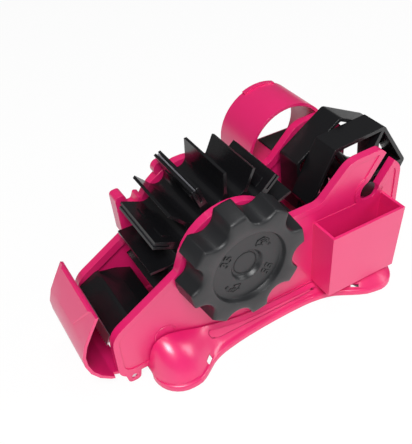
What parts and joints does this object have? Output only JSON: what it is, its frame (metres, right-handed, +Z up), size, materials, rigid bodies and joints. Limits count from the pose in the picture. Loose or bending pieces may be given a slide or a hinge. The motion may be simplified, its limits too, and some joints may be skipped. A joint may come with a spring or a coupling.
{
  "type": "semi-automatic tape dispenser",
  "caption": "Counter tape dispenser: turning a scalloped knob turns a finned drum that feeds tape from a hexagonal spool to a front blade with a sprung guard; side box and hoop.",
  "frame": {"origin": "centre of the bounding box on the ground, under the suction cups", "axes": "+X to the rear, where the tape spool is; +Y away from the knob, to the hoop's side; +Z up"},
  "size_m": [0.2236, 0.11, 0.1108],
  "materials": {
    "pink_plastic": "semi-gloss moulded plastic, hot pink",
    "black_plastic": "satin moulded plastic, black",
    "rubber_pad": "matt",
    "cup_rubber": "soft, slightly glossy",
    "blade_steel": "ground strip",
    "dark_steel": "blackened strip",
    "steel": "plain bright"
  },
  "bodies": {
    "frame": {"near_frame": "pink_plastic", "far_frame": "pink_plastic", "base": "pink_plastic", "hoop_pad": "rubber_pad", "suction_cup_1": "cup_rubber", "suction_cup_2": "cup_rubber", "suction_cup_3": "cup_rubber", "suction_cup_4": "cup_rubber", "near_bush": "black_plastic", "far_bush": "black_plastic", "cutter_block": "black_plastic", "cutter_blade": "blade_steel", "guard_pin": "steel", "guard_spring": "steel", "tie_post_1": "pink_plastic", "tie_post_2": "pink_plastic", "tie_post_3": "pink_plastic", "tie_post_4": "pink_plastic", "tie_screw_1": "steel", "tie_screw_2": "steel", "tie_screw_3": "steel", "tie_screw_4": "steel"},
    "drum": {"drum": "black_plastic", "drum_blade_1": "dark_steel", "drum_blade_2": "dark_steel", "drum_blade_3": "dark_steel", "drum_blade_4": "dark_steel", "drum_blade_5": "dark_steel", "drum_blade_6": "dark_steel", "drum_axle": "steel", "knob": "black_plastic", "knob_cap": "black_plastic", "axle_cap": "pink_plastic"},
    "spool_axle": {"spool_axle": "black_plastic"},
    "spool": {"spool_near": "black_plastic", "spool_far": "black_plastic"},
    "guard": {"blade_guard": "pink_plastic"}
  },
  "joints": [
    {"name": "drum_spin", "type": "hinge", "parent": "frame", "child": "drum", "pos_m": [-0.02007, -0.005, 0.065], "axis": [0, 1, 0], "continuous": true},
    {"name": "spool_lift", "type": "slide", "parent": "frame", "child": "spool_axle", "axis": [0.5736, 0, 0.8192], "range_m": [0, 0.06]},
    {"name": "spool_spin", "type": "hinge", "parent": "spool_axle", "child": "spool", "pos_m": [0.07543, -0.005, 0.0642], "axis": [0, 1, 0], "continuous": true},
    {"name": "guard_swing", "type": "hinge", "parent": "frame", "child": "guard", "pos_m": [-0.08707, -0.005, 0.0047], "axis": [0, -1, 0], "range_deg": [0, 30], "stiffness_Nm_per_rad": 0.02, "springref_deg": -20.05}
  ]
}
